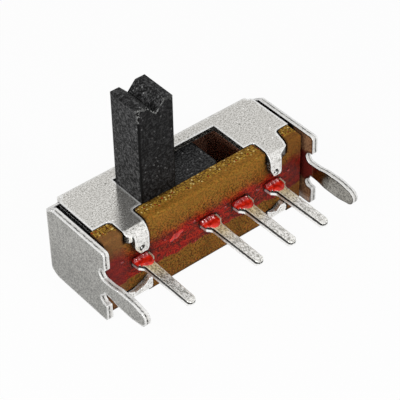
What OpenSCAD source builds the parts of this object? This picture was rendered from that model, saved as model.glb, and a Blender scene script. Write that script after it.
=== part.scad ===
// Right-angle slide switch: three positions, four terminals, one folded steel frame.
// Millimetres. X runs along the switch, Z up along the handle, and the terminals and
// bracket legs point towards -Y. Inside the modules y = 0 is the front face of the
// terminal board and z = 0 the base; place() moves that to the middle of the outline.

/* [Frame] */
// length over the two end plates
frame_length = 12.8; // [12.4:0.1:15.4]
// height from the base to the upper face of the top wall
body_height = 4.27; // [4.2:0.01:5.2]
// depth from the front of the terminal board to the back wall's outer face
body_depth = 4.15; // [4.05:0.05:5]
// thickness of the sheet the frame is folded from
sheet = 0.3; // [0.25:0.05:0.35]
// outside radius of the folds between the walls
fold_radius = 0.35; // [0.35:0.05:0.45]
// slit between the top or bottom wall and an end plate
end_slit = 0.25; // [0.2:0.05:0.35]
// how far the end plates' upper edge lies below the top wall
end_drop = 0.12; // [0:0.02:0.2]
// how far the end plates' lobes stand in front of the board
lobe_reach = 0.48; // [0.4:0.02:0.6]
// rounding of the lobes' front corners
lobe_round = 0.2; // [0.05:0.05:0.3]
// rounding of the end plates' lower back corners
corner_round = 0.95; // [0.6:0.05:1]

/* [Bracket legs] */
// reach of the legs in front of the board
leg_reach = 3.38; // [2.9:0.02:4.2]
// height of a leg at its root
leg_root = 0.7; // [0.6:0.05:0.75]
// height of a leg at its widest place
leg_belly = 1.06; // [0.9:0.02:1.2]
// diameter of a leg's rounded tip
leg_tip = 0.8; // [0.7:0.05:0.9]
// radius of the relief notch above a leg
upper_notch = 0.33; // [0.28:0.01:0.36]
// radius of the relief notch below a leg
lower_notch = 0.26; // [0.22:0.01:0.3]

/* [Board tabs] */
// distance of a tab's inner edge from the middle of the switch
tab_inner = 3.66; // [3.5:0.02:3.8]
// width of a tab where it passes over the board
tab_width = 1.22; // [1.1:0.02:1.3]
// outside radius of the tabs' folds over the board's edges
tab_fold = 0.58; // [0.45:0.01:0.65]
// rounding of the corners where a tab leaves its wall
tab_root = 0.28; // [0.1:0.02:0.4]
// width of the left upper blade in front of the board
tab_blade = 0.8; // [0.6:0.05:0.85]
// distance of the right upper blade's inner edge from the middle of the switch
blade_inner = 3.6; // [3.5:0.02:3.7]
// how much further out the left upper blade stands, and how much narrower the right one is
blade_lean = 0.11; // [0:0.01:0.15]
// how far the upper blades reach down from the top of the frame
tab_drop = 1.44; // [1.2:0.02:1.5]
// depth of the staking mark near a blade's end
stake_depth = 0.08; // [0.04:0.01:0.1]
// height of the left lower claw above the base
left_claw = 1.02; // [0.8:0.02:1.2]
// height of the right lower claw above the base
right_claw = 0.86; // [0.8:0.02:1.2]

/* [Terminal board] */
// gap between the tabs and the board's notches
notch_clear = 0.08; // [0.03:0.01:0.12]
// thickness of the laminate board
board_thick = 1.0; // [0.9:0.05:1.1]
// gap between the board's left end and the end plate
left_gap = 0.08; // [0.02:0.01:0.3]
// gap between the board's right end and the end plate
right_gap = 0.34; // [0.02:0.02:0.4]
// rounding of the board's front edges
board_round = 0.14; // [0.05:0.01:0.2]
// clearance around the terminals in the board
board_clear = 0.03; // [0.02:0.01:0.06]

/* [Terminals] */
// distance between two neighbouring switching positions and terminals
pitch = 2; // [1.64:0.02:2.1]
// thickness of the terminal strip
strip = 0.3; // [0.25:0.05:0.35]
// width of a terminal in the board
shank_width = 1.0; // [0.85:0.05:1.1]
// width of a solder pin
pin_width = 0.54; // [0.45:0.01:0.64]
// reach of the solder pins in front of the board
pin_reach = 3.76; // [3.1:0.02:4.4]
// length of the wide shoulder in front of the board
shoulder = 0.38; // [0.3:0.02:0.45]
// width of a contact pad behind the board
pad_width = 1.5; // [1.3:0.05:1.6]
// height of the common rail behind the board
rail_height = 0.7; // [0.6:0.05:0.75]
// thickness of the lacquer over a terminal's shoulder
lacquer = 0.06; // [0.04:0.01:0.1]
// size of the lacquer fillet between a terminal and the board
lacquer_fillet = 0.16; // [0.12:0.02:0.3]

/* [Slider] */
// width of the handle along the direction of travel
handle_width = 2.0; // [1.7:0.05:2.4]
// depth of the handle across the direction of travel
handle_depth = 2.05; // [1.6:0.05:2.1]
// height of the handle above the top wall
handle_rise = 5.28; // [4.4:0.02:6.4]
// width of the V groove across the handle's end
groove_width = 1.0; // [0.8:0.05:1.2]
// depth of the V groove
groove_depth = 0.55; // [0.35:0.01:0.6]
// rounding of the handle's edges
handle_round = 0.1; // [0.05:0.01:0.15]
// how far the slider runs past its end positions before the handle meets the slot's end
over_travel = 0.04; // [0.02:0.01:0.12]
// clearance between the handle and the end of its slot
slot_end_clear = 0.02; // [0.01:0.01:0.05]
// clearance between the handle and the board
slot_front_clear = 0.03; // [0.02:0.01:0.08]
// clearance behind the handle in its slot
slot_back_clear = 0.17; // [0.05:0.01:0.4]
// clearance between the carriage and an end plate at the end of travel
carriage_end_clear = 0.19; // [0.1:0.01:0.25]
// clearance between the carriage and the walls above, below and behind it
carriage_clear = 0.12; // [0.08:0.01:0.2]
// rounding of the carriage's upright edges
carriage_round = 0.3; // [0.1:0.05:0.4]

/* [Detent and contact] */
// diameter of the detent ball
ball_diameter = 1.0; // [0.8:0.05:1.1]
// clearance between the ball and its bore, all round
ball_clear = 0.03; // [0.02:0.01:0.05]
// how far the detent dimples stand out behind the frame
dimple_rise = 0.15; // [0.1:0.01:0.2]
// depth of the ball and spring bore in the carriage
bore_depth = 1.75; // [1.5:0.05:1.9]
// wire diameter of the detent spring
wire = 0.12; // [0.1:0.01:0.15]
// number of turns of the detent spring
turns = 4; // [3:1:5]
// thickness of the bridging contact's strip
contact_strip = 0.12; // [0.1:0.01:0.15]
// width of the bridging contact
contact_width = 1.0; // [0.8:0.05:1.2]
// gap left between the bridging contact and the pads
contact_gap = 0.02; // [0.01:0.01:0.05]

/* [Hidden] */
$fn = 48;

eps = 0.01;
half_length = frame_length / 2;
top_half = half_length - sheet - end_slit;   // half length of the top and bottom walls
fold_half = top_half - 0.25;                 // half length of their folds into the back wall
inner_radius = fold_radius - sheet;
mid = body_height / 2;                       // height of the terminals and legs
wall_front = board_thick + 0.05;             // front edge of the top and bottom walls
inner_back = body_depth - sheet;             // inner face of the back wall
tab_outer = tab_inner + tab_width;
fold_front = -sheet + 0.08;                  // where a tab narrows to its blade or claw
left_blade = blade_inner + blade_lean;       // inner edge of the left upper blade
right_width = tab_blade - blade_lean;        // width of the right upper blade
claw_inner = 3.62;                           // inner edge of the left claw
claw_width = 0.98;
right_claw_inner = 4;                        // inner edge of the right claw
right_claw_width = 0.64;
stake_radius = 0.12;                         // radius of the staking punch
corner_cut = 0.7;                            // slope of the end plates' upper back corners
corner_fall = 0.43;
leg_waist = leg_reach - leg_tip / 2;         // where the leg's rounded tip begins
leg_widest = 1.9;                            // distance of the belly from the board
foot_top = 0.97;                             // upper end of the foot below the lower notch
notch_wall = 0.04;                           // how far the relief notches stay in front of the board
arc_step = 15;                               // largest angle between two points of a rounded corner

half_travel = pitch + over_travel;           // three positions, and a little more at each end
rest_x = -half_travel;                       // the handle's middle at rest, at its left end
slot_half = half_travel + handle_width / 2 + slot_end_clear;
handle_front = board_thick + slot_front_clear;
handle_back = handle_front + handle_depth;
slot_back = handle_back + slot_back_clear;
carriage_half = half_length - sheet - carriage_end_clear - half_travel;
pad_front = board_thick + strip;             // rear face of the pads and rail
carriage_front = pad_front + 0.1;
carriage_back = inner_back - 0.1;
carriage_low = sheet + carriage_clear;
carriage_high = body_height - sheet - carriage_clear - 0.05;

throw_x = [0, pitch, 2 * pitch];             // the three switched terminals
common_x = -2 * pitch;                       // the common terminal
pin_neck = 0.22;                             // length of the slope from shoulder to pin
pin_tip = 0.2;                               // rounding of the corners of a pin's end
pin_taper = 0.04;                            // how much a pin narrows on each side
rail_low = mid + strip / 2 + 0.25;           // lower edge of the common rail
rail_mid = rail_low + rail_height / 2;
pad_low = mid - strip / 2 - 1.3;             // lower edge of the switched pads
pad_mid = pad_low + 0.6;
board_left = -half_length + sheet + left_gap;
board_right = half_length - sheet - right_gap;

ball_y = inner_back - ball_diameter / 2 - 0.02;
bore_end = carriage_back - bore_depth;
spring_radius = 0.34;
contact_x = rest_x + pitch;                  // the bridge sits one pitch right of the handle
contact_back = pad_front + 0.62;             // floor of the contact's pocket
nose = 0.26;                                 // outside radius of the contact's two noses

front_y = max(pin_reach, leg_reach);
centre_y = (body_depth + dimple_rise - front_y) / 2;

module place() {
    translate([0, -centre_y, 0]) children();
}

// a drawing in the Y-Z plane, drawn out from x0 to x1
module along_x(x0, x1) {
    translate([x0, 0, 0]) rotate([90, 0, 90]) linear_extrude(x1 - x0) children();
}

// a drawing in the X-Z plane, drawn out from y0 to y1
module along_y(y0, y1) {
    translate([0, y1, 0]) rotate([90, 0, 0]) linear_extrude(y1 - y0) children();
}

// a drawing in the X-Y plane, drawn out from z0 to z1
module along_z(z0, z1) {
    translate([0, 0, z0]) linear_extrude(z1 - z0) children();
}

module bar(x0, y0, x1, y1) {
    translate([x0, y0]) square([x1 - x0, y1 - y0]);
}

module round_bar(x0, y0, x1, y1, r) {
    bar(x0 + r, y0, x1 - r, y1);
    bar(x0, y0 + r, x1, y1 - r);
    for (x = [x0 + r, x1 - r], y = [y0 + r, y1 - r]) translate([x, y]) circle(r);
}

// the points that stand for corner b, between a and c, when it is rounded to radius r;
// the radius is limited by half of the shorter side
function corner(a, b, c, r) = r == 0 ? [b] :
    let (u = (a - b) / norm(a - b), v = (c - b) / norm(c - b), half = acos(u * v) / 2,
         fit = min(r, min(norm(a - b), norm(c - b)) / 2 * tan(half)),
         middle = b + (u + v) / norm(u + v) * fit / sin(half),
         first = b + u * fit / tan(half) - middle, last = b + v * fit / tan(half) - middle,
         start = atan2(first.y, first.x), turn = atan2(last.y, last.x) - start,
         sweep = turn > 180 ? turn - 360 : turn < -180 ? turn + 360 : turn,
         n = max(2, ceil(abs(sweep) / arc_step)))
    [for (i = [0 : n]) middle + fit * [cos(start + sweep * i / n), sin(start + sweep * i / n)]];

// a list of corners [x, y, radius] as the points of an outline; no radius means a sharp corner
function rounded(p) = let (n = len(p), xy = [for (q = p) [q.x, q.y]])
    [for (i = [0 : n - 1])
        each corner(xy[(i + n - 1) % n], xy[i], xy[(i + 1) % n], len(p[i]) > 2 ? p[i].z : 0)];

// ---------- metal frame ----------

// top wall, back wall and bottom wall in one fold, seen along X
module channel_section() {
    difference() {
        union() {
            bar(wall_front, 0, body_depth - fold_radius, body_height);
            bar(body_depth - fold_radius - eps, fold_radius, body_depth, body_height - fold_radius);
            for (z = [fold_radius, body_height - fold_radius])
                translate([body_depth - fold_radius, z]) circle(fold_radius);
        }
        bar(wall_front - 1, sheet, body_depth - fold_radius, body_height - sheet);
        bar(body_depth - fold_radius - eps, fold_radius, inner_back, body_height - fold_radius);
        for (z = [fold_radius, body_height - fold_radius])
            translate([body_depth - fold_radius, z]) circle(inner_radius);
    }
}

// outline of the top and bottom walls, with rounded back corners beside their folds
module wall_outline() {
    step = top_half - fold_half;
    bar(-top_half, 0, top_half, inner_back - step - 0.1);
    bar(-fold_half, 0, fold_half, body_depth + 1);
    for (s = [-1, 1]) translate([s * fold_half, inner_back - step - 0.1]) circle(step);
}

// back wall and the two end plates in one fold, seen along Z
module wrap_section() {
    fold_x = half_length - fold_radius;
    difference() {
        union() {
            bar(-half_length, -leg_reach - 1, half_length, body_depth - fold_radius);
            bar(-fold_x, 0, fold_x, body_depth);
            for (s = [-1, 1])
                translate([s * fold_x, body_depth - fold_radius]) circle(fold_radius);
        }
        bar(-half_length + sheet, -leg_reach - 2, half_length - sheet, body_depth - fold_radius);
        bar(-fold_x, -1, fold_x, inner_back);
        for (s = [-1, 1])
            translate([s * fold_x, body_depth - fold_radius]) circle(inner_radius);
    }
}

// outline of an end plate with its lobes, leg and relief notches, seen along X
module end_outline() {
    top = body_height - end_drop;
    lobe_low = mid + leg_root / 2 + 2 * upper_notch;
    difference() {
        union() {
            polygon(rounded([
                [-lobe_reach, 0, lobe_round],
                [body_depth + 1, 0],
                [body_depth + 1, top - corner_fall],
                [body_depth, top - corner_fall],
                [body_depth - corner_cut, top, 0.1],
                [-lobe_reach, top, lobe_round],
                [-lobe_reach, lobe_low, 0.12],
                [-notch_wall - upper_notch, lobe_low],
                [-notch_wall - upper_notch, foot_top],
                [-lobe_reach, foot_top, lobe_round]
            ]));
            polygon(rounded([
                [0, mid + leg_root / 2],
                [-0.9, mid + leg_root / 2 + 0.02, 1],
                [-leg_widest + 0.5, mid + leg_belly / 2 - 0.05, 1],
                [-leg_widest - 0.5, mid + leg_belly / 2 - 0.01, 2],
                [-leg_waist, mid + leg_tip / 2],
                [-leg_waist, mid - leg_tip / 2],
                [-leg_widest - 0.5, mid - leg_belly / 2 + 0.02, 2],
                [-leg_widest + 0.5, mid - leg_belly / 2 + 0.02, 1],
                [-0.9, mid - leg_root / 2 - 0.04, 1],
                [0, mid - leg_root / 2]
            ]));
            translate([-leg_waist, mid]) circle(leg_tip / 2);
        }
        // relief notches
        translate([-notch_wall - upper_notch, mid + leg_root / 2 + upper_notch]) circle(upper_notch);
        translate([-notch_wall - lower_notch, foot_top + lower_notch]) circle(lower_notch);
        polygon([
            [-1, mid - leg_root / 2 - 1],
            [-0.5, mid - leg_root / 2],
            [-notch_wall - lower_notch * 0.1, foot_top + lower_notch * 1.45],
            [-notch_wall - lower_notch, foot_top + eps],
            [-1, foot_top + eps]
        ]);
        // rounded lower back corner
        difference() {
            bar(body_depth - corner_round, -1, body_depth + 2, corner_round);
            translate([body_depth - corner_round, corner_round]) circle(corner_round);
            bar(body_depth, corner_round - eps, body_depth + 2, corner_round + 1);
        }
    }
}

// a tab's flat part and its fold, seen along X; z is measured down from the outer face
module tab_section() {
    difference() {
        union() {
            bar(-sheet + tab_fold, -tab_fold, wall_front + 0.5, 0);
            translate([-sheet + tab_fold, -tab_fold]) circle(tab_fold);
        }
        bar(-1, -2 * tab_fold - 1, wall_front + 1, -tab_fold);
        bar(-sheet + tab_fold, -tab_fold - eps, wall_front + 1, -sheet);
        translate([-sheet + tab_fold, -tab_fold]) circle(tab_fold - sheet);
    }
}

// outline of a right-hand tab seen from above: it leaves the wall with rounded corners, its inner
// edge is straight up to y = inner_end, its outer edge runs from x = outer.x at the wall to
// [outer.y, outer.z], and then it narrows to a blade or claw between x = a and b;
// c makes it that much wider, for the notch in the board
module tab_outline(a, b, inner_end, outer, c = 0) {
    root = wall_front - c;
    polygon(rounded([
        [tab_inner - tab_root - 0.1, wall_front + 0.1],
        [tab_inner - tab_root - 0.1, root],
        [tab_inner - c, root, tab_root],
        [tab_inner - c, inner_end, 0.3],
        [a - c, fold_front, 0.1],
        [a - c, -sheet - 1],
        [b + c, -sheet - 1],
        [b + c, fold_front, 0.1],
        [outer.y + c, outer.z, 0.15],
        [outer.x + c, root, tab_root],
        [outer.x + tab_root + 0.1, root],
        [outer.x + tab_root + 0.1, wall_front + 0.1]
    ]));
}

// the outlines of the four tabs, each as if it were on the right
module left_upper_outline(c = 0) {
    outer = [tab_outer, tab_outer, fold_front + 0.06];
    tab_outline(left_blade, left_blade + tab_blade, 0.4, outer, c);
}

module right_upper_outline(c = 0) {
    outer = [tab_outer + 0.16, tab_outer - 0.1, -0.04];
    tab_outline(blade_inner, blade_inner + right_width, 0.5, outer, c);
}

module left_lower_outline(c = 0) {
    outer = [tab_outer, tab_outer, fold_front + 0.12];
    tab_outline(claw_inner, claw_inner + claw_width, 0.1, outer, c);
}

module right_lower_outline(c = 0) {
    outer = [tab_outer, tab_outer, 0];
    tab_outline(right_claw_inner, right_claw_inner + right_claw_width, -0.12, outer, c);
}

// flat part and fold of a tab on the upper side, within the outline that is its child
module tab_root_solid() {
    intersection() {
        along_x(tab_inner - 1, tab_outer + 1) translate([0, body_height]) tab_section();
        along_z(0, body_height + 1) children();
    }
}

// an upper blade on the right: its end is cut by inner_cut and outer_cut, each [width, height]
module blade(x0, x1, low, inner_cut, outer_cut) {
    top = body_height - tab_fold;
    difference() {
        along_y(-sheet, 0) polygon(rounded([
            [x0, top],
            [x0, low + inner_cut.y, 0.4],
            [x0 + inner_cut.x, low, 0.1],
            [x1 - outer_cut.x, low, 0.1],
            [x1, low + outer_cut.y, 0.4],
            [x1, top]
        ]));
        translate([(x0 + x1) / 2, -sheet - stake_radius + stake_depth, low + 0.3])
            sphere(stake_radius);
    }
}

module left_upper_tab() {
    low = body_height - tab_drop;
    mirror([1, 0, 0]) {
        tab_root_solid() left_upper_outline();
        blade(left_blade, left_blade + tab_blade, low, [0.08, 0.2], [0.28, 0.4]);
    }
}

module right_upper_tab() {
    low = body_height - tab_drop + 0.1;
    tab_root_solid() right_upper_outline();
    blade(blade_inner, blade_inner + right_width, low, [0.22, 0.5], [0.06, 0.16]);
}

// lower tabs: the same fold upside down, with a short slanted claw
module left_lower_tab() {
    mirror([1, 0, 0]) translate([0, 0, body_height]) mirror([0, 0, 1])
        tab_root_solid() left_lower_outline();
    mirror([1, 0, 0]) along_y(-sheet, 0) polygon(rounded([
        [claw_inner, tab_fold],
        [claw_inner, left_claw, 0.06],
        [claw_inner + 0.13, left_claw, 0.06],
        [claw_inner + 0.42, left_claw - 0.26, 0.3],
        [claw_inner + claw_width, tab_fold]
    ]));
}

module right_lower_tab() {
    translate([0, 0, body_height]) mirror([0, 0, 1])
        tab_root_solid() right_lower_outline();
    along_y(-sheet, 0) polygon(rounded([
        [right_claw_inner, tab_fold],
        [right_claw_inner + 0.35, right_claw, 0.06],
        [right_claw_inner + 0.5, right_claw, 0.08],
        [right_claw_inner + right_claw_width, right_claw - 0.18, 0.1],
        [right_claw_inner + right_claw_width, tab_fold]
    ]));
}

module dimple_at(x) {
    r = ball_diameter / 2;
    translate([x, inner_back + dimple_rise - r, mid]) sphere(r);
}

module frame_solid() {
    difference() {
        union() {
            intersection() {
                along_x(-top_half - 1, top_half + 1) channel_section();
                along_z(-1, body_height + 1) wall_outline();
            }
            intersection() {
                along_z(-1, body_height + 1) wrap_section();
                along_x(-half_length - 1, half_length + 1) end_outline();
            }
            // dimples pressed outwards at the three positions
            for (i = [-1, 0, 1]) intersection() {
                translate([i * pitch, inner_back + dimple_rise - ball_diameter / 2, mid])
                    sphere(ball_diameter / 2 + sheet);
                translate([i * pitch - 2, inner_back, mid - 2])
                    cube([4, body_depth + dimple_rise - inner_back, 4]);
            }
            left_upper_tab();
            right_upper_tab();
            left_lower_tab();
            right_lower_tab();
        }
        // slot for the handle
        translate([-slot_half, wall_front - 1, body_height - sheet - 0.1])
            cube([2 * slot_half, slot_back - wall_front + 1, sheet + 0.2]);
        for (i = [-1, 0, 1]) dimple_at(i * pitch);
    }
}

// ---------- terminal board ----------

// the notch under a tab's flat part and fold, seen along X, on the upper side
module notch_section() {
    c = notch_clear;
    polygon([
        [-1, 1],
        [-1, -tab_fold - c],
        [0, -tab_fold - c],
        [tab_fold - sheet, -sheet - c],
        [board_thick + 1, -sheet - c],
        [board_thick + 1, 1]
    ]);
}

// a notch on the upper side, within the outline that is its child
module notch() {
    intersection() {
        along_x(tab_inner - 1, tab_outer + 1) translate([0, body_height]) notch_section();
        along_z(0, body_height + 1) children();
    }
}

module board_solid() {
    c = board_clear;
    difference() {
        along_x(board_left, board_right) polygon(rounded([
            [0, 0, board_round],
            [board_thick, 0],
            [board_thick, body_height],
            [0, body_height, board_round]
        ]));
        // notches for the tabs
        mirror([1, 0, 0]) notch() left_upper_outline(notch_clear);
        notch() right_upper_outline(notch_clear);
        translate([0, 0, body_height]) mirror([0, 0, 1]) {
            mirror([1, 0, 0]) notch() left_lower_outline(notch_clear);
            notch() right_lower_outline(notch_clear);
        }
        // slots for the terminals
        for (x = concat([common_x], throw_x))
            translate([x - shank_width / 2 - c, -1, mid - strip / 2 - c])
                cube([shank_width + 2 * c, board_thick + 2, strip + 2 * c]);
    }
}

// ---------- terminals ----------

// shank, shoulder and solder pin of a terminal at x = 0, seen from above
module pin_outline() {
    w = shank_width / 2;
    p = pin_width / 2;
    side = [
        [w, pad_front - strip / 2],
        [w, 0],
        [w - 0.03, -shoulder, 0.08],
        [p, -shoulder - pin_neck, 0.3],
        [p - pin_taper, -pin_reach, pin_tip]
    ];
    polygon(rounded(concat(side,
        [for (i = [len(side) - 1 : -1 : 0]) [-side[i].x, side[i].y, len(side[i]) > 2 ? side[i].z : 0]])));
}

// the strip seen along X: flat pin with a coined tip
module pin_section() {
    polygon([
        [-pin_reach, mid - strip / 2 + 0.08],
        [-pin_reach + 0.18, mid - strip / 2],
        [pad_front - strip / 2, mid - strip / 2],
        [pad_front - strip / 2, mid + strip / 2],
        [-pin_reach + 0.18, mid + strip / 2],
        [-pin_reach, mid + strip / 2 - 0.08]
    ]);
}

module pin_solid() {
    intersection() {
        along_z(0, body_height) pin_outline();
        along_x(-shank_width, shank_width) pin_section();
    }
}

// the fold from the shank into the pad, seen along X; d = 1 turns up, -1 turns down
module pad_fold(d) {
    translate([0, mid]) mirror([0, d < 0 ? 1 : 0]) difference() {
        union() {
            bar(board_thick, 0, pad_front, strip / 2 + eps);
            bar(board_thick - 0.1, -strip / 2, pad_front - strip, strip / 2);
            intersection() {
                translate([pad_front - strip, strip / 2]) circle(strip);
                bar(board_thick - eps, -strip / 2, pad_front, strip / 2 + eps);
            }
        }
        bar(pad_front - 0.2, -strip, pad_front + 1, -strip / 2);
        difference() {
            bar(pad_front - strip, -strip / 2 - eps, pad_front + eps, strip / 2);
            translate([pad_front - strip, strip / 2]) circle(strip);
        }
    }
}

module throw_terminal_solid(x) {
    translate([x, 0, 0]) {
        intersection() {
            pin_solid();
            translate([-2, -5, 0]) cube([4, 5 + board_thick, body_height]);
        }
        along_x(-shank_width / 2, shank_width / 2) pad_fold(-1);
        along_y(board_thick, pad_front)
            round_bar(-pad_width / 2, pad_low, pad_width / 2, mid - strip / 2, 0.15);
    }
}

module common_terminal_solid() {
    translate([common_x, 0, 0]) {
        intersection() {
            pin_solid();
            translate([-2, -5, 0]) cube([4, 5 + board_thick, body_height]);
        }
        along_x(-shank_width / 2, shank_width / 2) pad_fold(1);
    }
    along_y(board_thick, pad_front) {
        bar(common_x - shank_width / 2, mid + strip / 2, common_x + shank_width / 2, rail_mid);
        round_bar(common_x - shank_width / 2, rail_low, throw_x[2] + pad_width / 2,
                  rail_low + rail_height, 0.15);
    }
}

// lacquer over one terminal's shoulder, with a fillet against the board
module lacquer_solid(x) {
    top = mid + strip / 2;
    w = shank_width / 2;
    p = pin_width / 2;
    translate([x, 0, 0]) intersection() {
        along_x(-w - 0.1, w + 0.1) polygon([
            [0, top],
            [0, top + lacquer_fillet],
            [-lacquer_fillet * 0.3, top + lacquer_fillet * 0.5],
            [-lacquer_fillet, top + lacquer],
            [-shoulder - pin_neck + 0.03, top + lacquer],
            [-shoulder - pin_neck - 0.02, top + lacquer * 0.5],
            [-shoulder - pin_neck - 0.04, top]
        ]);
        along_z(top - eps, top + 1) polygon([
            [-w - 0.08, 0],
            [-w + 0.01, -0.08],
            [-w + 0.04, -shoulder + 0.02],
            [-p, -shoulder - pin_neck],
            [-p + 0.06, -shoulder - pin_neck - 0.06],
            [p - 0.06, -shoulder - pin_neck - 0.06],
            [p, -shoulder - pin_neck],
            [w - 0.04, -shoulder + 0.02],
            [w - 0.01, -0.08],
            [w + 0.08, 0]
        ]);
    }
}

// ---------- slider ----------

module handle_solid() {
    x0 = rest_x - handle_width / 2;
    x1 = rest_x + handle_width / 2;
    top = body_height + handle_rise;
    r = handle_round;
    intersection() {
        along_z(carriage_high - 0.3, top) round_bar(x0, handle_front, x1, handle_back, r);
        along_y(0, body_depth) difference() {
            round_bar(x0, carriage_high - 1, x1, top, r);
            polygon([
                [rest_x, top - groove_depth],
                [rest_x - groove_width / 2, top],
                [rest_x - groove_width / 2, top + 1],
                [rest_x + groove_width / 2, top + 1],
                [rest_x + groove_width / 2, top]
            ]);
        }
        along_x(x0 - 1, x1 + 1) round_bar(handle_front, carriage_high - 1, handle_back, top, r);
    }
}

module slider_solid() {
    x0 = rest_x - carriage_half;
    x1 = rest_x + carriage_half;
    difference() {
        union() {
            along_z(carriage_low, carriage_high)
                round_bar(x0, carriage_front, x1, carriage_back, carriage_round);
            handle_solid();
        }
        // bore for the detent ball and its spring
        translate([rest_x, carriage_back + 1, mid]) rotate([90, 0, 0])
            cylinder(h = bore_depth + 1, r = ball_diameter / 2 + ball_clear);
        // pocket for the bridging contact
        translate([contact_x - contact_width / 2 - 0.1, carriage_front - 1, pad_mid - nose - 0.1])
            cube([contact_width + 0.2, contact_back - carriage_front + 1,
                  rail_mid - pad_mid + 2 * nose + 0.2]);
    }
}

// ---------- bridging contact, spring and ball ----------

module contact_section() {
    c = contact_strip;
    y0 = pad_front + contact_gap + nose;     // middle of the noses
    difference() {
        union() {
            for (z = [pad_mid, rail_mid]) {
                translate([y0, z]) circle(nose);
                bar(y0, z - nose, contact_back, z + nose);
            }
            bar(contact_back - c, pad_mid, contact_back, rail_mid);
        }
        for (z = [pad_mid, rail_mid]) {
            translate([y0, z]) circle(nose - c);
            bar(y0, z - nose + c, contact_back + 1, z + nose - c);
        }
    }
}

// a helix of round wire along Y, with level ends
module spring_solid() {
    n = 14;                                  // steps in one turn
    k = 6;                                   // sides of the wire
    steps = n * turns;
    y0 = bore_end + wire / 2 + 0.01;
    y1 = ball_y - ball_diameter / 2 + 0.13;
    rise = y1 - y0;
    points = [for (i = [0 : steps], j = [0 : k - 1])
        let (a = 360 * i / n, b = 360 * j / k,
             r = spring_radius + wire / 2 * cos(b))
        [rest_x + r * cos(a), y0 + rise * i / steps + wire / 2 * sin(b), mid + r * sin(a)]];
    sides = [for (i = [0 : steps - 1], j = [0 : k - 1])
        [i * k + j, i * k + (j + 1) % k, (i + 1) * k + (j + 1) % k, (i + 1) * k + j]];
    start = [[for (j = [k - 1 : -1 : 0]) j]];
    end = [[for (j = [0 : k - 1]) steps * k + j]];
    polyhedron(points, concat(sides, start, end));
}

// ---------- nodes ----------

module metal_frame() {
    color([0.78, 0.77, 0.74]) place() frame_solid();
}

module terminal_board() {
    color([0.51, 0.34, 0.14]) place() board_solid();
}

module common_terminal() {
    color([0.82, 0.8, 0.74]) place() common_terminal_solid();
}

module throw_terminal_1() {
    color([0.82, 0.8, 0.74]) place() throw_terminal_solid(throw_x[0]);
}

module throw_terminal_2() {
    color([0.82, 0.8, 0.74]) place() throw_terminal_solid(throw_x[1]);
}

module throw_terminal_3() {
    color([0.82, 0.8, 0.74]) place() throw_terminal_solid(throw_x[2]);
}

module lacquer_seal() {
    color([0.72, 0.06, 0.04]) place()
        for (x = concat([common_x], throw_x)) lacquer_solid(x);
}

module slider() {
    color([0.06, 0.06, 0.06]) place() slider_solid();
}

module bridge_contact() {
    color([0.85, 0.68, 0.36]) place()
        along_x(contact_x - contact_width / 2, contact_x + contact_width / 2) contact_section();
}

module detent_spring() {
    color([0.7, 0.7, 0.7]) place() spring_solid();
}

module detent_ball() {
    color([0.8, 0.8, 0.82]) place()
        translate([rest_x, ball_y, mid]) sphere(ball_diameter / 2);
}

metal_frame();
terminal_board();
common_terminal();
throw_terminal_1();
throw_terminal_2();
throw_terminal_3();
lacquer_seal();
slider();
bridge_contact();
detent_spring();
detent_ball();
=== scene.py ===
"""Looks of the right-angle slide switch: plated steel frame, brown laminate board with its red
lacquer, silver-plated terminals and a matt black slider, on a pale floor in soft studio light."""
import math
from functools import cached_property, reduce
from types import SimpleNamespace

import bmesh
import bpy
from mathutils import Matrix, Vector, noise


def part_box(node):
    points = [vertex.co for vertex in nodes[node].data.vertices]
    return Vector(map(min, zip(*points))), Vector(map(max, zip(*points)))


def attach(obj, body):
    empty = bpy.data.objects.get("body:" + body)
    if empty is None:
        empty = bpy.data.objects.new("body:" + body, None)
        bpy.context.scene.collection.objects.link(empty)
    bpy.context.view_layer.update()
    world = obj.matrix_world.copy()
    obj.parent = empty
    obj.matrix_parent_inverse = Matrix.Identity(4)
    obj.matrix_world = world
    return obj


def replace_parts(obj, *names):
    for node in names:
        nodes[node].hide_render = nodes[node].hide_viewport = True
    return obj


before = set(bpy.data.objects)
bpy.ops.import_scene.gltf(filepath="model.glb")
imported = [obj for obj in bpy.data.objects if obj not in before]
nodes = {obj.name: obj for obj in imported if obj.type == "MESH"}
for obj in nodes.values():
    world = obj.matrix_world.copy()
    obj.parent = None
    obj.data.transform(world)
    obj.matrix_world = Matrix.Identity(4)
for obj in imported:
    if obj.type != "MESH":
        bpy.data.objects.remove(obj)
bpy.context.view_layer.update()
MM = 0.001

# ---------- sizes, in millimetres in the shared frame ----------

SHEET = 0.3                                      # thickness of the frame's sheet
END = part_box("metal_frame")[1][0] / MM           # outer face of the end plates
END_INNER = END - SHEET                          # their inner face
BACK_INNER = 3.58                                # inner face of the back wall, along y
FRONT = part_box("terminal_board")[0][1] / MM      # front face of the board
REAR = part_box("terminal_board")[1][1] / MM       # its rear face
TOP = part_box("terminal_board")[1][2] / MM        # its upper edge and the frame's upper face
MIDDLE = TOP / 2                                 # height of the terminals
LOBES = FRONT - 0.48                             # front edge of the end plates' lobes
SLOT_REACH = 3.12                                # just past the ends of the handle's slot, along x
SLOT_REAR = 3.5                                  # a place behind its rear side, along y
TABS = (3.0, 5.6)                                # the tabs and claws stand between these, left and right
STRIP = 0.3                                      # thickness of the terminals
TERMINALS = (-4, 0, 2, 4)                        # where they stand along x
STAKES = (-4.11, 3.945)                          # where the upper blades' punch marks stand along x
STAKE_DOWN = 1.14                                # and how far below the frame's upper face
HANDLE_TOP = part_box("slider")[1][2] / MM
BOARD_DROP = 0.14                                # how far the board reaches below the frame's base
FLOOR_GAP = 0.02                                 # between the board's lower edge and the floor

# ---------- camera ----------

LENS = 151.2
CAMERA_PLACE = (-36.80, -45.65, 55.01)
CAMERA_TARGET = (-0.357, -0.108, 3.536)
CAMERA_ROLL = -1.23                              # in degrees


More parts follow.
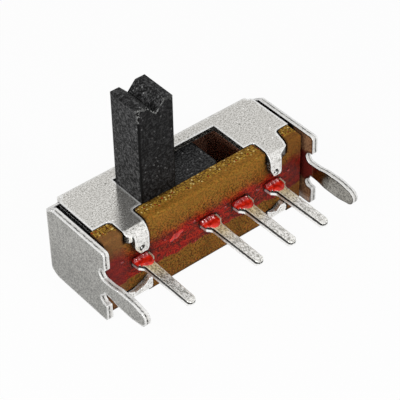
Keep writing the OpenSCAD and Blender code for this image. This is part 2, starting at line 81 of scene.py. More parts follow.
def make_camera():
    data = bpy.data.cameras.new("camera")
    data.sensor_width = 36
    data.lens = LENS
    data.clip_start = 0.001
    data.clip_end = 10
    camera = bpy.data.objects.new("camera", data)
    bpy.context.scene.collection.objects.link(camera)
    place = Vector(CAMERA_PLACE) * MM
    target = Vector(CAMERA_TARGET) * MM
    turn = (target - place).normalized().to_track_quat("-Z", "Y").to_matrix().to_4x4()
    roll = Matrix.Rotation(math.radians(CAMERA_ROLL), 4, "Z")
    camera.matrix_world = Matrix.Translation(place) @ turn @ roll
    bpy.context.scene.camera = camera


# ---------- node helpers ----------

class Shader:
    """A material's node tree, with short calls for the nodes used here."""

    def __init__(self, name):
        self.material = bpy.data.materials.new(name)
        self.material.use_nodes = True
        self.tree = self.material.node_tree
        self.tree.nodes.clear()
        self.output = self.tree.nodes.new("ShaderNodeOutputMaterial")
        self.place = self.add("ShaderNodeTexCoord").outputs["Object"]

    def add(self, kind, inputs=None, **settings):
        made = self.tree.nodes.new(kind)
        for key, value in settings.items():
            setattr(made, key, value)
        for key, value in (inputs or {}).items():
            if isinstance(value, bpy.types.NodeSocket):
                self.tree.links.new(value, made.inputs[key])
            else:
                made.inputs[key].default_value = value
        return made

    # --- numbers ---

    def math(self, operation, *values):
        return self.add("ShaderNodeMath", dict(enumerate(values)), operation=operation).outputs[0]

    def times(self, *values):
        return reduce(lambda a, b: self.math("MULTIPLY", a, b), values)

    def plus(self, *values):
        return reduce(lambda a, b: self.math("ADD", a, b), values)

    def minus(self, a, b):
        return self.math("SUBTRACT", a, b)

    def most(self, *values):
        return reduce(lambda a, b: self.math("MAXIMUM", a, b), values)

    def absolute(self, value):
        return self.math("ABSOLUTE", value)

    def ramp(self, value, low, high, out_low=0.0, out_high=1.0):
        """A smooth step from out_low, where value is low, to out_high, where it is high."""
        inputs = {"Value": value, "From Min": low, "From Max": high, "To Min": out_low, "To Max": out_high}
        return self.add("ShaderNodeMapRange", inputs, interpolation_type="SMOOTHSTEP", clamp=True).outputs[0]

    def fall(self, value, low, high):
        """1 up to low, falling to 0 at high."""
        return self.ramp(value, low, high, 1.0, 0.0)

    def between(self, mask, off, on):
        """off where the mask is 0 and on where it is 1."""
        return self.ramp(mask, 0.0, 1.0, off, on)

    def inside(self, value, low, high, soft):
        """1 where value lies between low and high, falling to 0 over soft beyond them."""
        return self.times(self.ramp(value, low - soft, low), self.fall(value, high, high + soft))

    def waver(self, value, pattern, amount):
        """value, moved up and down by the pattern over a band as wide as amount."""
        return self.plus(value, self.times(self.minus(pattern, 0.5), amount))

    # --- where the point lies and how the surface stands ---

    @cached_property
    def at(self):
        """x, y and z of the point in the shared frame, in millimetres."""
        parts = self.add("ShaderNodeSeparateXYZ", {"Vector": self.place}).outputs
        return [self.times(part, 1 / MM) for part in parts]

    @cached_property
    def facing(self):
        """x, y and z of the face's direction."""
        normal = self.add("ShaderNodeNewGeometry").outputs["True Normal"]
        return self.add("ShaderNodeSeparateXYZ", {"Vector": normal}).outputs

    def rounded(self, radius):
        """The surface's direction as if its edges were rounded."""
        return self.add("ShaderNodeBevel", {"Radius": radius * MM}, samples=4).outputs[0]

    def edges(self, radius):
        """1 on the edges of a solid and 0 on its faces."""
        flat = self.add("ShaderNodeNewGeometry").outputs["Normal"]
        both = {0: self.rounded(radius), 1: flat}
        turn = self.add("ShaderNodeVectorMath", both, operation="DOT_PRODUCT").outputs["Value"]
        return self.ramp(turn, 0.999, 0.975)

    def crevice(self, reach):
        """1 in corners and gaps narrower than about reach, 0 on open faces."""
        open_sky = self.add("ShaderNodeAmbientOcclusion", {"Distance": reach * MM}, samples=6)
        return self.fall(open_sky.outputs["AO"], 0.5, 0.94)

    # --- patterns ---

    def noise(self, size, detail=2.0, rough=0.5, stretch=(1, 1, 1), seed=0.0):
        """Noise whose features are about size across; stretch lengthens them along an axis."""
        move = {"Vector": self.place, "Location": (seed, seed * 1.7, seed * 0.6),
                "Scale": tuple(1 / s for s in stretch)}
        look = {"Vector": self.add("ShaderNodeMapping", move).outputs[0],
                "Scale": 1 / (size * MM), "Detail": detail, "Roughness": rough}
        return self.add("ShaderNodeTexNoise", look).outputs[0]

    def specks(self, size, share, seed=0.0):
        """Scattered small spots; share is about how much of the surface they cover."""
        at = self.add("ShaderNodeMapping", {"Vector": self.place, "Location": (seed, seed, seed)}).outputs[0]
        cells = self.add("ShaderNodeTexVoronoi", {"Vector": at, "Scale": 1 / (size * MM)})
        chosen = self.ramp(cells.outputs["Color"], 1 - share, 1 - share + 0.01)
        return self.times(chosen, self.fall(cells.outputs["Distance"], 0.3, 0.45))

    # --- colours and the finished surface ---

    def mix(self, factor, a, b):
        made = self.add("ShaderNodeMix", data_type="RGBA")
        for index, value in ((0, factor), (6, a), (7, b)):
            if isinstance(value, bpy.types.NodeSocket):
                self.tree.links.new(value, made.inputs[index])
            else:
                made.inputs[index].default_value = value if index == 0 else (*value, 1)
        return made.outputs[2]

    def bump(self, height, depth, strength, base=None):
        inputs = {"Height": height, "Distance": depth * MM, "Strength": strength}
        if base is not None:
            inputs["Normal"] = base
        return self.add("ShaderNodeBump", inputs).outputs[0]

    def surface(self, **inputs):
        shader = self.add("ShaderNodeBsdfPrincipled", {k.replace("_", " "): v for k, v in inputs.items()})
        self.tree.links.new(shader.outputs[0], self.output.inputs["Surface"])
        return self.material


# ---------- frame: plated steel ----------

BRIGHT = (0.98, 0.97, 0.94)


def steel_zones(s):
    """The frame's patterns and zones; each zone is 1 inside and 0 outside."""
    x, y, z = s.at
    side = s.facing
    across = s.absolute(x)
    zone = SimpleNamespace(across=across)
    zone.grain = s.noise(0.075, detail=3, rough=0.8)
    zone.cloud = s.noise(1.1, detail=3, seed=0.4)
    zone.end_outside = s.ramp(across, END - 0.02, END - 0.01)
    outward = s.times(s.math("SIGN", x), side[0])
    zone.end_inside = s.times(s.fall(outward, -0.9, -0.5), s.ramp(across, END_INNER - 0.1, END_INNER - 0.05))
    # the part of it that faces the board's ends
    zone.in_gap = s.times(zone.end_inside, s.ramp(y, LOBES - 0.1, LOBES))
    zone.closed = s.times(s.inside(z, SHEET - 0.02, TOP - SHEET + 0.02, 0.01),
                          s.inside(y, FRONT + 0.07, BACK_INNER + 0.01, 0.01),
                          s.inside(x, 0.02 - END_INNER, END_INNER - 0.02, 0.01))
    # the slits between the top wall and the end plates
    zone.slit = s.times(s.inside(across, END - 0.7, END_INNER + 0.03, 0.01), s.fall(side[2], 0.3, 0.5),
                        s.inside(y, 0.7, BACK_INNER + 0.02, 0.2), s.ramp(z, 1.0, 2.5))
    # the handle's slot, cut through the top wall
    slot = s.times(s.inside(x, -SLOT_REACH, SLOT_REACH, 0.01), s.inside(y, FRONT + 0.07, SLOT_REAR, 0.01),
                   s.inside(z, TOP - SHEET + 0.01, TOP - 0.03, 0.02))
    # what is folded over the board: the claws below, the tabs with their blades above
    folded = s.times(s.fall(y, -0.1, 0.0), s.inside(across, *TABS, 0.05))
    zone.claw = s.times(folded, s.fall(z, 1.6, 2.0))
    tab = s.minus(folded, zone.claw)
    zone.blade = s.times(tab, s.fall(side[1], -0.8, -0.3), s.ramp(z, 2.4, 2.6))
    zone.tab_side = s.times(tab, s.ramp(s.absolute(side[0]), 0.15, 0.3))
    zone.cut = s.most(slot, zone.tab_side)
    # the sheared sides of the end plates and legs
    zone.rim = s.times(s.ramp(across, END_INNER - 0.01, END_INNER), s.fall(s.absolute(side[0]), 0.15, 0.3))
    zone.upper = s.ramp(side[2], 0.8, 0.95)
    zone.stake = stake_marks(s)
    return zone


def stake_marks(s):
    """Ring-shaped punch marks near the ends of the upper blades, open to one side, that are given painted
    shade.
    """
    x, y, z = s.at
    middle = sum(STAKES) / 2
    a = s.minus(s.absolute(s.minus(x, middle)), STAKES[1] - middle)
    b = s.minus(z, TOP - STAKE_DOWN)
    ring = s.math("SQRT", s.plus(s.times(a, a), s.times(b, b)))
    opening = s.ramp(s.plus(a, b), -0.15, -0.09)
    return s.times(s.inside(ring, 0.1, 0.155, 0.02), s.fall(y, -0.5, -0.45), opening)


def steel_plating(s, zone):
    """Grainy plating with dark and bright spots; painted shade darkens the end plates' outer sides, the lower
    the more.
    """
    z = s.at[2]
    colour = s.mix(s.ramp(zone.grain, 0.4, 0.58), (0.31, 0.3, 0.275), (0.8, 0.785, 0.75))
    colour = s.mix(s.ramp(zone.cloud, 0.35, 0.7, 0.0, 0.3), colour, (0.565, 0.55, 0.515))
    colour = s.mix(s.times(s.specks(0.14, 0.1, 0.3), 0.75), colour, (0.103, 0.099, 0.086))
    colour = s.mix(s.specks(0.13, 0.12, 4.1), colour, BRIGHT)
    shaded_end_plate = s.mix(s.ramp(zone.grain, 0.4, 0.6), (0.1, 0.1, 0.093), (0.33, 0.325, 0.3))
    return s.mix(s.times(zone.end_outside, s.ramp(z, 0.9, 3.2, 0.95, 0.78)), colour, shaded_end_plate)


def steel_painted_reflections(s, zone, colour):
    """Painted shade and a painted brown reflection of the board inside the end plates, a painted brown
    reflection of the board in the channel, and painted shade in the slits.
    """
    y = s.at[1]
    near_board = s.ramp(s.plus(y, s.times(zone.cloud, 0.6)), -1.5, -0.9)
    shaded_inner_steel = s.mix(s.ramp(zone.grain, 0.43, 0.56), (0.05, 0.047, 0.041), (0.32, 0.306, 0.27))
    brown = s.mix(s.ramp(zone.grain, 0.36, 0.64), (0.138, 0.043, 0.013), (0.43, 0.198, 0.06))
    colour = s.mix(s.times(zone.end_inside, 0.9), colour, s.mix(near_board, shaded_inner_steel, brown))
    painted_inner_reflection = s.mix(s.ramp(zone.grain, 0.4, 0.6), (0.19, 0.068, 0.04), (0.8, 0.42, 0.28))
    # painted brown reflection of the board inside the channel
    colour = s.mix(zone.closed, colour, painted_inner_reflection)
    return s.mix(zone.slit, colour, (0.01, 0.009, 0.008))


def steel_cut_sides(s, zone, colour):
    """Claws and blades brightened by a painted highlight; cut sides speckled and darkened by painted shade; a
    torn line round the end plates' rims.
    """
    z = s.at[2]
    # painted highlight on the claws
    colour = s.mix(s.times(zone.claw, s.ramp(zone.grain, 0.4, 0.52, 0.0, 0.9)), colour, BRIGHT)
    blade_highlight = s.times(zone.blade, s.ramp(zone.grain, 0.42, 0.52, 0.1, 0.85), s.ramp(z, 2.9, 3.5, 0.35, 1.0))
    colour = s.mix(blade_highlight, colour, BRIGHT)
    speckled = s.mix(s.ramp(zone.grain, 0.52, 0.64), (0.01, 0.009, 0.008), (0.43, 0.413, 0.361))
    colour = s.mix(zone.cut, colour, speckled)
    colour = s.mix(s.times(zone.rim, 0.3), colour, BRIGHT)
    line = s.inside(s.waver(zone.across, s.noise(0.2, seed=2.6), 0.1), END - 0.14, END - 0.095, 0.02)
    broken = s.ramp(s.noise(0.13, detail=3, rough=0.7, seed=9.2), 0.42, 0.54, 0.4, 1.0)
    return s.mix(s.times(zone.rim, line, broken), colour, (0.017, 0.017, 0.014))


def plated_steel():
    s = Shader("plated_steel")
    zone = steel_zones(s)
    z = s.at[2]
    colour = steel_cut_sides(s, zone, steel_painted_reflections(s, zone, steel_plating(s, zone)))
    # painted red reflection of the lacquer beside the board, and painted shade in the corners
    colour = s.mix(s.times(zone.in_gap, s.inside(z, 1.5, 2.9, 0.4)), colour, (0.13, 0.015, 0.012))
    corner_shade = s.times(s.crevice(0.2), s.between(zone.in_gap, 0.9, 0.3), s.between(zone.upper, 1.0, 0.25))
    colour = s.mix(corner_shade, colour, (0.026, 0.023, 0.017))
    # sheared edges: burnished, with a painted highlight, outside; painted shade in the gap beside the board
    wide_edge = s.edges(0.2)
    edge = s.times(s.edges(0.12), s.ramp(s.crevice(0.1), 0.2, 0.8, 1.0, 0.1))
    edge = s.most(edge, s.times(wide_edge, zone.upper))
    edge = s.times(edge, s.between(zone.cut, 1.0, 0.15))
    edge = s.times(edge, s.between(s.most(zone.tab_side, zone.stake), 1.0, 0.0))
    colour = s.mix(edge, colour, s.mix(zone.end_inside, (1.0, 1.0, 0.99), (0.02, 0.012, 0.008)))
    colour = s.mix(s.times(zone.in_gap, wide_edge), colour, (0.012, 0.008, 0.006))
    # painted shade in the punch marks
    colour = s.mix(s.times(zone.stake, s.ramp(zone.grain, 0.44, 0.5, 0.5, 1.0)), colour, (0.013, 0.013, 0.01))
    rough = s.plus(s.ramp(zone.cloud, 0.3, 0.7, 0.08, 0.12), s.ramp(zone.grain, 0.3, 0.7, 0.0, 0.06))
    metal = s.plus(s.between(zone.end_inside, 0.78, 1.0), s.times(zone.in_gap, -0.9))
    metal = s.times(metal, s.between(s.most(zone.cut, zone.rim, zone.slit), 1.0, 0.35))
    metal = s.times(metal, s.between(s.most(edge, s.times(zone.blade, 0.75)), 1.0, 0.6))
    normal = s.bump(zone.grain, 0.008, 0.5, s.rounded(0.055))
    return s.surface(Base_Color=colour, Metallic=metal, Roughness=rough, Normal=normal)


# ---------- board: laminate with brushed lacquer ----------

def paper(s, grain, cloud, shaded_ends, left):
    """Mottled brown laminate with redder painted shade towards both ends, greyer at the left one."""
    z = s.at[2]
    tint = s.noise(0.11, detail=2, seed=6.2)
    brown = s.mix(s.ramp(tint, 0.4, 0.6), (0.42, 0.138, 0.024), (0.33, 0.172, 0.026))
    brown = s.mix(s.ramp(grain, 0.43, 0.55), (0.06, 0.023, 0.0025), brown)
    brown = s.mix(s.ramp(cloud, 0.3, 0.75, 0.0, 0.4), brown, (0.164, 0.07, 0.008))
    brown = s.mix(s.specks(0.14, 0.1, 2.2), brown, (0.41, 0.246, 0.057))
    brown = s.mix(s.ramp(z, 3.2, 3.9, 0.0, 0.28), brown, (0.4, 0.205, 0.03))
    brown = s.mix(s.times(shaded_ends, 0.5), brown, (0.12, 0.032, 0.01))
    return s.mix(s.times(left, 0.4), brown, (0.2, 0.1, 0.055))


def torn_edge(s, fibre, torn, brown):
    """Lighter and redder fibres where the board's punched edge is torn."""
    colour = s.mix(s.ramp(fibre, 0.4, 0.6), (0.074, 0.018, 0.005), (0.508, 0.295, 0.041))
    colour = s.mix(s.specks(0.13, 0.34, 1.1), colour, (0.75, 0.55, 0.2))
    colour = s.mix(s.specks(0.16, 0.3, 5.1), colour, (0.344, 0.033, 0.01))
    return s.mix(torn, brown, colour)


def lacquer_band(s):
    """Where red lacquer was brushed along the terminals, wider towards both ends."""
    x, y, z = s.at
    spread = s.ramp(s.absolute(x), 4.2, 5.6, 0.0, 0.2)
    height = s.waver(z, s.noise(0.8, detail=3, rough=0.55, seed=1.3), 0.7)
    upper = s.fall(s.minus(height, spread), 2.6, 3.35)
    lower = s.ramp(height, 1.3, 1.38)
    return s.times(upper, lower, s.fall(y, FRONT + 0.05, FRONT + 0.11))


def brushed_red(s, grain, shaded_ends, left):
    """Streaky red with dark and bright grain, dark blots, painted shade towards both ends and a few painted
    glints.
    """
    x = s.at[0]
    streak = s.noise(0.4, detail=3, stretch=(2.5, 1, 1), seed=2.1)
    red = s.mix(s.ramp(streak, 0.36, 0.66), (0.12, 0.002, 0.0025), (0.42, 0.005, 0.006))
    red = s.mix(s.ramp(grain, 0.42, 0.5, 0.7, 0.0), red, (0.035, 0.002, 0.002))
    red = s.mix(s.ramp(grain, 0.52, 0.6, 0.0, 0.6), red, (0.62, 0.025, 0.016))
    red = s.mix(s.times(shaded_ends, 0.65), red, (0.09, 0.008, 0.007))
    # painted glints
    red = s.mix(s.specks(0.14, 0.07, 3.4), red, (0.75, 0.06, 0.075))
    blot = s.noise(0.16, detail=3, rough=0.7, stretch=(1.6, 1, 1), seed=8.4)
    blots = s.times(s.ramp(blot, 0.53, 0.6, 0.0, 0.85), s.ramp(x, -5.2, -4.6, 0.35, 1.0))
    red = s.mix(blots, red, (0.041, 0.006, 0.004))
    return s.mix(s.times(left, 0.35), red, (0.24, 0.018, 0.022))


def notch_outline(s):
    """1 along the notches' upright edges, where the rounded surface turns towards x."""
    turned = s.add("ShaderNodeSeparateXYZ", {"Vector": s.rounded(0.2)}).outputs[0]
    turned = s.minus(s.absolute(turned), s.absolute(s.facing[0]))
    return s.times(s.ramp(turned, 0.1, 0.35, 0.0, 0.95), s.fall(s.absolute(s.at[0]), 5.35, 5.5))


def laminate():
    s = Shader("board_laminate")
    x, y = s.at[:2]
    side = s.facing
    grain = s.noise(0.085, detail=3, rough=0.8)
    cloud = s.noise(0.9, detail=3, seed=0.2)
    fibre = s.noise(0.075, detail=3, rough=0.75, stretch=(1.5, 1, 1), seed=0.7)
    # painted shade at both ends, the right one the more, and the left one alone
    shaded_ends = s.ramp(s.plus(s.absolute(x), s.times(cloud, 0.6)), 4.6, 5.6)
    shaded_ends = s.times(shaded_ends, s.ramp(x, -1.0, 1.0, 0.55, 1.0))
    left = s.fall(x, -5.2, -4.6)
    # the rear part of the punched upper and lower edges
    torn = s.ramp(s.waver(y, s.noise(0.3, seed=3.1), 0.5), 0.12, 0.26)
    torn = s.times(s.ramp(s.absolute(side[2]), 0.6, 0.9), torn)
    brown = torn_edge(s, fibre, torn, paper(s, grain, cloud, shaded_ends, left))
    band = lacquer_band(s)
    cover = s.times(band, s.ramp(grain, 0.42, 0.6, 1.0, 0.85))
    colour = s.mix(cover, brown, brushed_red(s, grain, shaded_ends, left))
    # the rear side is dark brown, and painted shade lies in the corners and along the notches
    colour = s.mix(s.ramp(side[1], 0.5, 0.8), colour, (0.131, 0.025, 0.012))
    corner_shade = s.most(s.times(s.crevice(0.36), 0.97), notch_outline(s))
    colour = s.mix(corner_shade, colour, (0.007, 0.003, 0.0025))
    rough = s.minus(s.ramp(grain, 0.3, 0.7, 0.5, 0.66), s.times(band, 0.22))
    relief = s.plus(s.times(grain, 0.35), s.times(fibre, torn, 1.6), s.times(band, 0.5))
    normal = s.bump(relief, 0.03, 0.6, s.rounded(0.05))
    return s.surface(Base_Color=colour, Roughness=rough, Normal=normal, Specular_IOR_Level=0.06)


# ---------- the other materials ----------

def plated_terminal():
    s = Shader("terminal_plating")
    y, z = s.at[1:]
    up = s.facing[2]
    grain = s.noise(0.075, detail=3, rough=0.75, stretch=(1, 2, 1))
    colour = s.mix(s.ramp(grain, 0.41, 0.58), (0.34, 0.33, 0.3), (0.95, 0.94, 0.91))
    colour = s.mix(s.times(s.specks(0.14, 0.12, 0.6), 0.8), colour, (0.138, 0.129, 0.112))
    # yellowed by the lacquer near the board
    near = s.ramp(s.plus(y, s.times(s.noise(0.4, seed=0.9), 0.8)), -1.8, -0.7)
    near = s.times(near, s.ramp(up, 0.3, 0.7))
    yellow = s.mix(s.ramp(grain, 0.4, 0.6), (0.46, 0.38, 0.18), (1.0, 0.88, 0.5))
    colour = s.mix(s.times(near, 0.8), colour, yellow)
    # punched sides: a dark torn zone above a burnished one
    torn = s.ramp(s.waver(z, grain, 0.12), MIDDLE - 0.035, MIDDLE + 0.025)
    punched = s.mix(torn, (0.97, 0.97, 0.95), (0.017, 0.016, 0.013))
    colour = s.mix(s.fall(s.absolute(up), 0.3, 0.6), colour, punched)
    # painted highlight along the upper edges
    edge = s.times(s.edges(0.1), s.ramp(up, 0.3, 0.6, 0.0, 0.95))
    colour = s.mix(edge, colour, (1.0, 0.99, 0.93))
    rough = s.ramp(grain, 0.3, 0.7, 0.22, 0.36)
    metal = s.times(s.between(near, 0.75, 0.45), s.between(edge, 1.0, 0.8))
    normal = s.bump(grain, 0.012, 0.9, s.rounded(0.07))
    return s.surface(Base_Color=colour, Metallic=metal, Roughness=rough, Normal=normal)


def red_lacquer():
    s = Shader("red_lacquer")
    x, y = s.at[:2]
    cloud = s.noise(0.22, detail=3, seed=0.3)
    colour = s.mix(s.ramp(cloud, 0.3, 0.7), (0.36, 0.005, 0.0022), (0.78, 0.022, 0.006))
    # darker and glossier behind, apart from the drops on the board
    behind = s.ramp(s.plus(y, s.times(cloud, 0.2)), FRONT - 0.17, FRONT - 0.05)
    behind = s.times(behind, s.between(s.inside(x, -2.3, -1.4, 0.1), 0.75, 0.0))
    colour = s.mix(behind, colour, (0.17, 0.0034, 0.0034))
    normal = s.bump(s.noise(0.13, detail=2, seed=1.9), 0.03, 0.35)
    rough = s.ramp(behind, 0.0, 0.75, 0.3, 0.1)
    return s.surface(Base_Color=colour, Roughness=rough, Normal=normal, Specular_IOR_Level=0.5)


def black_plastic():
    s = Shader("slider_plastic")
    x, y, z = s.at
    side = s.facing
    grain = s.noise(0.1, detail=3, rough=0.8)
    cloud = s.noise(1.3, detail=2, seed=0.5)
    patches = s.noise(0.2, detail=2, seed=7.3)
    colour = s.mix(s.ramp(grain, 0.45, 0.58), (0.0008, 0.0008, 0.001), (0.1, 0.1, 0.101))
    colour = s.mix(s.specks(0.12, 0.16, 0.8), colour, (0.28, 0.28, 0.28))
    colour = s.mix(s.specks(0.18, 0.24, 3.8), colour, (0.0016, 0.0016, 0.0016))
    colour = s.mix(s.ramp(patches, 0.44, 0.58, 0.0, 0.4), colour, (0.003, 0.003, 0.003))
    # painted shade on the faces turned to the front
    colour = s.mix(s.ramp(side[1], -0.9, -0.5, 0.65, 0.0), colour, (0.0008, 0.0008, 0.0012))
    # the rounded upright corners and the edges are made darker
    corner = s.times(*[s.ramp(s.absolute(side[i]), 0.15, 0.3) for i in range(2)])
    for darkened in (corner, s.edges(0.12)):
        colour = s.mix(s.times(darkened, 0.9), colour, (0.0008, 0.0008, 0.0008))
    # a painted highlight round the groove's front end
    groove_glint = s.times(s.edges(0.07), s.ramp(s.noise(0.14, detail=2, seed=2.0), 0.44, 0.52))
    groove_glint = s.times(groove_glint, s.ramp(x, -2.0, -1.7, 1.0, 0.4), s.ramp(z, HANDLE_TOP - 0.7, HANDLE_TOP - 0.6))
    colour = s.mix(s.times(groove_glint, s.fall(y, 0.95, 1.05)), colour, (0.574, 0.574, 0.558))
    rough = s.plus(s.ramp(grain, 0.3, 0.7, 0.46, 0.6), s.times(cloud, 0.08))
    normal = s.bump(grain, 0.02, 0.6, s.rounded(0.05))
    return s.surface(Base_Color=colour, Roughness=rough, Normal=normal, Specular_IOR_Level=0.1)


def bare_metal(name, size, dark, light, rough, stretch=(1, 1, 1)):
    """A plain metal whose colour and roughness follow one fine grain of that size."""
    s = Shader(name)
    grain = s.noise(size, detail=2, stretch=stretch)
    colour = s.mix(grain, dark, light)
    return s.surface(Base_Color=colour, Metallic=1.0, Roughness=s.ramp(grain, 0.3, 0.7, *rough))


def spring_bronze():
    drawn = (4, 1, 1)
    return bare_metal("contact_bronze", 0.05, (0.66, 0.42, 0.16), (0.84, 0.62, 0.3), (0.2, 0.35), drawn)


def drawn_wire():
    return bare_metal("spring_wire", 0.03, (0.45, 0.45, 0.45), (0.66, 0.66, 0.65), (0.25, 0.4))


def ball_steel():
    return bare_metal("ball_steel", 0.08, (0.68, 0.68, 0.7), (0.8, 0.8, 0.82), (0.06, 0.12))


# ---------- detail pieces ----------

def link(name, mesh, material, body):
    """A new piece that moves with that body."""
    made = bpy.data.objects.new(name, mesh)
    bpy.context.scene.collection.objects.link(made)
    mesh.materials.append(material)
    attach(made, body)
    return made


def wobble(point, size, seed):
    return noise.noise(Vector(point) / size + Vector((seed, seed * 2.3, seed * 0.7)))


def add_block(bm, low, high):
    low, high = Vector(low), Vector(high)
    place = Matrix.Translation((low + high) / 2) @ Matrix.Diagonal((*(high - low), 1))
    bmesh.ops.create_cube(bm, size=1, matrix=place)


def add_drop(bm, centre, radii):
    place = Matrix.Translation(centre) @ Matrix.Diagonal((*radii, 1))
    bmesh.ops.create_icosphere(bm, subdivisions=3, radius=1, matrix=place)


def add_facet(bm, centre, size):
    """A lump whose widest side faces forwards and up, where the lamp's image can fall."""
    turn = Matrix.Rotation(math.radians(-15), 4, "Z") @ Matrix.Rotation(math.radians(45), 4, "X")
    place = Matrix.Translation(centre) @ turn @ Matrix.Diagonal((*size, 1))
    bmesh.ops.create_cube(bm, size=1, matrix=place)


def add_bead(bm, x, lean):
    """The lump of lacquer over the shoulder of the terminal at x."""
    upper = MIDDLE + STRIP / 2
    add_block(bm, (x - 0.52, FRONT - 0.42, upper - 0.05), (x + 0.34, FRONT + 0.03, upper + 0.08))
    add_block(bm, (x - 0.38, FRONT - 0.52, upper - 0.05), (x + 0.3, FRONT + 0.03, upper + 0.08))
    add_drop(bm, (x + lean, FRONT - 0.48, upper), (0.3, 0.24, 0.085))
    add_drop(bm, (x - 0.09, FRONT - 0.02, upper + 0.03), (0.48, 0.12, 0.17))
    for at, width in ((-0.44, 0.14), (-0.26, 0.16), (0.0, 0.12), (0.18, 0.15)):
        add_facet(bm, (x + at + lean, FRONT - 0.11, upper + 0.11), (width, 0.2, 0.17))
    add_drop(bm, (x - 0.46, FRONT - 0.08, upper + 0.02), (0.12, 0.16, 0.14))


# x, z and size of the drops that ran onto the board
BOARD_DROPS = ((-1.95, 2.36, 0.26), (-1.68, 2.46, 0.18), (-2.2, 2.25, 0.15),
               (-2.6, 2.5, 0.1), (-0.85, 2.62, 0.1), (1.05, 2.4, 0.1),
               (3.05, 2.35, 0.12), (-5.1, 2.6, 0.12), (5.0, 2.5, 0.1))


def merged(bm):
    """One smooth skin round all the overlapping lumps."""
    mesh = bpy.data.meshes.new("lumps")
    bm.to_mesh(mesh)
    bm.free()
    lumps = bpy.data.objects.new("lumps", mesh)
    bpy.context.scene.collection.objects.link(lumps)
    remesh = lumps.modifiers.new("remesh", "REMESH")
    remesh.mode = "VOXEL"
    remesh.voxel_size = 0.022
    smooth = lumps.modifiers.new("smooth", "SMOOTH")
    smooth.factor = 0.5
    smooth.iterations = 5
    skin = bpy.data.meshes.new_from_object(lumps.evaluated_get(bpy.context.evaluated_depsgraph_get()))
    bpy.data.objects.remove(lumps)
    return skin


def make_lacquer(material):
    """Glossy lumps of lacquer over the terminals' shoulders, and a few smaller ones on the board."""
    bm = bmesh.new()
    for i, x in enumerate(TERMINALS):
        add_bead(bm, x, 0.03 * (-1) ** i)
    for x, z, size in BOARD_DROPS:
        add_drop(bm, (x, FRONT, z), (size, 0.045, size * 0.65))
        add_facet(bm, (x, FRONT + size * 0.1, z), (size * 0.7, size * 0.6, size * 0.5))
    mesh = merged(bm)
    # the normals are read before any vertex moves
    rises = [0.018 * wobble(v.co, 0.22, 1.0) + 0.006 * wobble(v.co, 0.07, 5.0) for v in mesh.vertices]
    shifts = [v.normal * rise for v, rise in zip(mesh.vertices, rises)]
    for vertex, shift in zip(mesh.vertices, shifts):
        vertex.co = (vertex.co + shift) * MM
    mesh.shade_smooth()
    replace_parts(link("lacquer_beads", mesh, material, "switch_body"), "lacquer_seal")


# from x, to x and distance behind the board's front of each torn stretch of its upper edge
TORN_STRETCHES = ((-3.5, 3.4, 0.5), (-5.98, -5.2, 0.35), (5.24, 5.72, 0.35))
TORN_STEP = 0.04


def torn_height(x, y, from_sides):
    """Height of the fibres over the board's edge; they lie down towards the stretch's sides."""
    rough = wobble((x / 1.6, y, 0), 0.07, 2.0) + 0.6 * wobble((x / 2, y, 0), 0.2, 7.0)
    front, rear, ends = from_sides
    fade = min(1, front / 3) * min(1, rear / 2 + 0.3) * min(1, ends / 3)
    return -0.02 + fade * (0.02 + 0.055 * rough)


def add_torn_stretch(bm, x0, x1, y0):
    """A thin closed slab, rough above and flat below, sunk a little into the board."""
    columns = round((x1 - x0) / TORN_STEP)
    rows = round((REAR - 0.03 - FRONT - y0) / TORN_STEP)
    grid = []
    for upper in (True, False):
        for j in range(rows + 1):
            for i in range(columns + 1):
                x = x0 + i * TORN_STEP
                y = FRONT + y0 + j * TORN_STEP
                from_sides = (j, rows - j, min(i, columns - i))
                lift = torn_height(x, y, from_sides) if upper else -0.06
                grid.append(bm.verts.new((x * MM, y * MM, (TOP + lift) * MM)))
    wide = columns + 1
    lower = wide * (rows + 1)
    for j in range(rows):
        for i in range(columns):
            a = j * wide + i
            bm.faces.new([grid[k] for k in (a, a + 1, a + 1 + wide, a + wide)])
            bm.faces.new([grid[k + lower] for k in (a + wide, a + 1 + wide, a + 1, a)])
    rim = list(range(columns)) + [columns + j * wide for j in range(rows)]
    rim += [rows * wide + columns - i for i in range(columns)] + [(rows - j) * wide for j in range(rows)]
    for a, b in zip(rim, rim[1:] + rim[:1]):
        bm.faces.new([grid[a + lower], grid[b + lower], grid[b], grid[a]])


def make_torn_edge(material):
    """The rough, fibrous rear part of the board's punched upper edge."""
    bm = bmesh.new()
    for stretch in TORN_STRETCHES:
        add_torn_stretch(bm, *stretch)
    mesh = bpy.data.meshes.new("board_edge_fibres")
    bm.to_mesh(mesh)
    bm.free()
    link("board_edge_fibres", mesh, material, "switch_body")


EDGE_ZONE = 0.2      # height of the board's lower edge with its rounding


def make_board(material):
    """The board, with its lower edge a little below the frame's base between the notches."""
    cad = nodes["terminal_board"]
    mesh = cad.data.copy()
    mesh.name = "laminate_board"
    mesh.materials.clear()
    for vertex in mesh.vertices:
        vertex.co = cad.matrix_world @ vertex.co
        if vertex.co.z < EDGE_ZONE * MM:
            vertex.co.z -= BOARD_DROP * MM
    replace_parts(link("laminate_board", mesh, material, "switch_body"), "terminal_board")


def dress():
    """Gives every piece its material and adds the pieces that are made here."""
    looks = {"metal_frame": plated_steel(), "slider": black_plastic(), "bridge_contact": spring_bronze(),
             "detent_spring": drawn_wire(), "detent_ball": ball_steel()}
    plating = plated_terminal()
    for name in ("common_terminal", "throw_terminal_1", "throw_terminal_2", "throw_terminal_3"):
        looks[name] = plating
    for name, material in looks.items():
        slots = nodes[name].data.materials
        if not slots:
            slots.append(material)
        for i in range(len(slots)):
            slots[i] = material
    make_lacquer(red_lacquer())
    board = laminate()
    make_torn_edge(board)
    make_board(board)


# ---------- stage and light ----------

FLOOR_SIZE = 1200
FLOOR_WHITE = 0.95       # share of plain white in the floor that the camera sees; the rest is shaded
WORLD_LIGHT = 0.42       # strength of the world as it lights the object
LAMP_TARGET = (0, 0, 3)


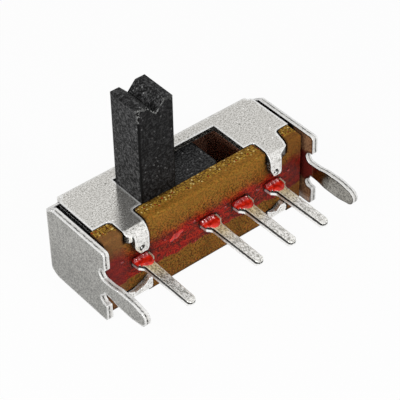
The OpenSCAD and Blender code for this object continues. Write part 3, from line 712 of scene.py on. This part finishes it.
def seen_rays(tree):
    """1 for the camera's rays and for those that a reflection or a clear piece sends on."""
    path = tree.nodes.new("ShaderNodeLightPath").outputs
    found = path["Is Camera Ray"]
    for name in ("Is Glossy Ray", "Is Transmission Ray"):
        either = tree.nodes.new("ShaderNodeMath")
        either.operation = "MAXIMUM"
        tree.links.new(found, either.inputs[0])
        tree.links.new(path[name], either.inputs[1])
        found = either.outputs[0]
    return found


def blend(tree, factor, first, second, output):
    """Sends a mix of two shaders to the tree's output."""
    mix = tree.nodes.new("ShaderNodeMixShader")
    for index, source in enumerate((factor, first.outputs[0], second.outputs[0])):
        tree.links.new(source, mix.inputs[index])
    tree.links.new(mix.outputs[0], tree.nodes.new(output).inputs["Surface"])


def make_floor():
    """A pale floor that those rays see as white, with a little of its own shade for the shadow."""
    mesh = bpy.data.meshes.new("floor")
    half = FLOOR_SIZE * MM / 2
    corners = [(-half, -half, 0), (half, -half, 0), (half, half, 0), (-half, half, 0)]
    mesh.from_pydata(corners, [], [(0, 1, 2, 3)])
    floor = bpy.data.objects.new("floor", mesh)
    floor.location.z = -(BOARD_DROP + FLOOR_GAP) * MM
    bpy.context.scene.collection.objects.link(floor)
    material = bpy.data.materials.new("floor")
    material.use_nodes = True
    tree = material.node_tree
    tree.nodes.clear()
    diffuse = tree.nodes.new("ShaderNodeBsdfDiffuse")
    diffuse.inputs["Color"].default_value = (0.8, 0.8, 0.8, 1)
    white = tree.nodes.new("ShaderNodeEmission")
    white.inputs["Color"].default_value = (1, 1, 1, 1)
    white.inputs["Strength"].default_value = 1.0
    share = tree.nodes.new("ShaderNodeMath")
    share.operation = "MULTIPLY"
    share.inputs[1].default_value = FLOOR_WHITE
    tree.links.new(seen_rays(tree), share.inputs[0])
    blend(tree, share.outputs[0], diffuse, white, "ShaderNodeOutputMaterial")
    mesh.materials.append(material)


def make_world():
    """White for the same rays, and a softer level that lights the object."""
    world = bpy.data.worlds.new("studio")
    bpy.context.scene.world = world
    world.use_nodes = True
    tree = world.node_tree
    tree.nodes.clear()
    skies = []
    for strength in (WORLD_LIGHT, 1.0):
        sky = tree.nodes.new("ShaderNodeBackground")
        sky.inputs["Color"].default_value = (1, 1, 1, 1)
        sky.inputs["Strength"].default_value = strength
        skies.append(sky)
    blend(tree, seen_rays(tree), *skies, "ShaderNodeOutputWorld")


def square_lamp(name, size, power, place):
    """A lamp of that size and power at that place, turned towards the switch."""
    data = bpy.data.lights.new(name, "AREA")
    data.shape = "SQUARE"
    data.size = size * MM
    data.energy = power
    lamp = bpy.data.objects.new(name, data)
    lamp.location = Vector(place) * MM
    towards = (Vector(LAMP_TARGET) - Vector(place)) * MM
    lamp.rotation_euler = towards.to_track_quat("-Z", "Y").to_euler()
    bpy.context.scene.collection.objects.link(lamp)


make_camera()
bpy.context.scene.view_settings.view_transform = "Standard"
dress()
make_floor()
make_world()
square_lamp("key", 60, 0.042, (-66, -30, 48))
square_lamp("front", 16, 0.018, (6, -74, 62))
